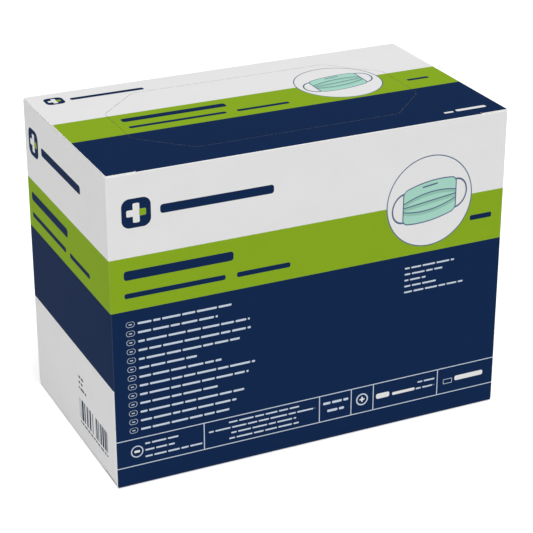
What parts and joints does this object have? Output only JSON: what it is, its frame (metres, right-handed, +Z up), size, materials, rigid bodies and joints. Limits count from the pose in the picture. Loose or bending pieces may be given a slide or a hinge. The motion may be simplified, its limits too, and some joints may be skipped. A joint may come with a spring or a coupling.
{
  "type": "surgical mask dispenser carton",
  "caption": "Closed straight-tuck folding carton of printed white board for surgical masks, with a perforated tear-out outline in its hinged lid.",
  "frame": {"origin": "middle of the base, on the surface that the carton stands on", "axes": "+X along the long front from left to right, +Y from the front to the back, +Z up"},
  "size_m": [0.23, 0.1284, 0.1775],
  "materials": {
    "printed_board": "coated white board, printed in white, green and navy bands with a satin varnish",
    "lid_board": "the same printed board, with raw white cut edges and a perforated outline",
    "base_board": "coated white board without print",
    "inside_board": "uncoated greyish white board, matt and slightly fibrous"
  },
  "bodies": {
    "carton": {"front_panel": "printed_board", "back_panel": "printed_board", "end_panel_left": "printed_board", "end_panel_right": "printed_board", "glue_flap": "inside_board", "bottom_flap_outer": "base_board", "bottom_flap_inner": "inside_board", "bottom_dust_flap_left": "inside_board", "bottom_dust_flap_right": "inside_board"},
    "lid": {"lid_panel": "lid_board"},
    "tuck_flap": {"tuck_flap": "lid_board"},
    "dust_flap_left": {"dust_flap_left": "inside_board"},
    "dust_flap_right": {"dust_flap_right": "inside_board"}
  },
  "joints": [
    {"name": "lid_hinge", "type": "hinge", "parent": "carton", "child": "lid", "pos_m": [0, 0.06425, 0.1775], "axis": [-1, 0, 0], "range_deg": [0, 170]},
    {"name": "tuck_fold", "type": "hinge", "parent": "lid", "child": "tuck_flap", "pos_m": [0, -0.06335, 0.1775], "axis": [-1, 0, 0], "range_deg": [0, 76.5]},
    {"name": "dust_fold_left", "type": "hinge", "parent": "carton", "child": "dust_flap_left", "pos_m": [-0.115, 0, 0.1766], "axis": [0, -1, 0], "range_deg": [0, 59.5]},
    {"name": "dust_fold_right", "type": "hinge", "parent": "carton", "child": "dust_flap_right", "pos_m": [0.115, 0, 0.1766], "axis": [0, 1, 0], "range_deg": [0, 59.5]}
  ],
  "couplings": [
    {"joint": "tuck_fold", "follows": "lid_hinge", "ratio": 0.45},
    {"joint": "dust_fold_left", "follows": "lid_hinge", "ratio": 0.35},
    {"joint": "dust_fold_right", "follows": "lid_hinge", "ratio": 0.35}
  ]
}
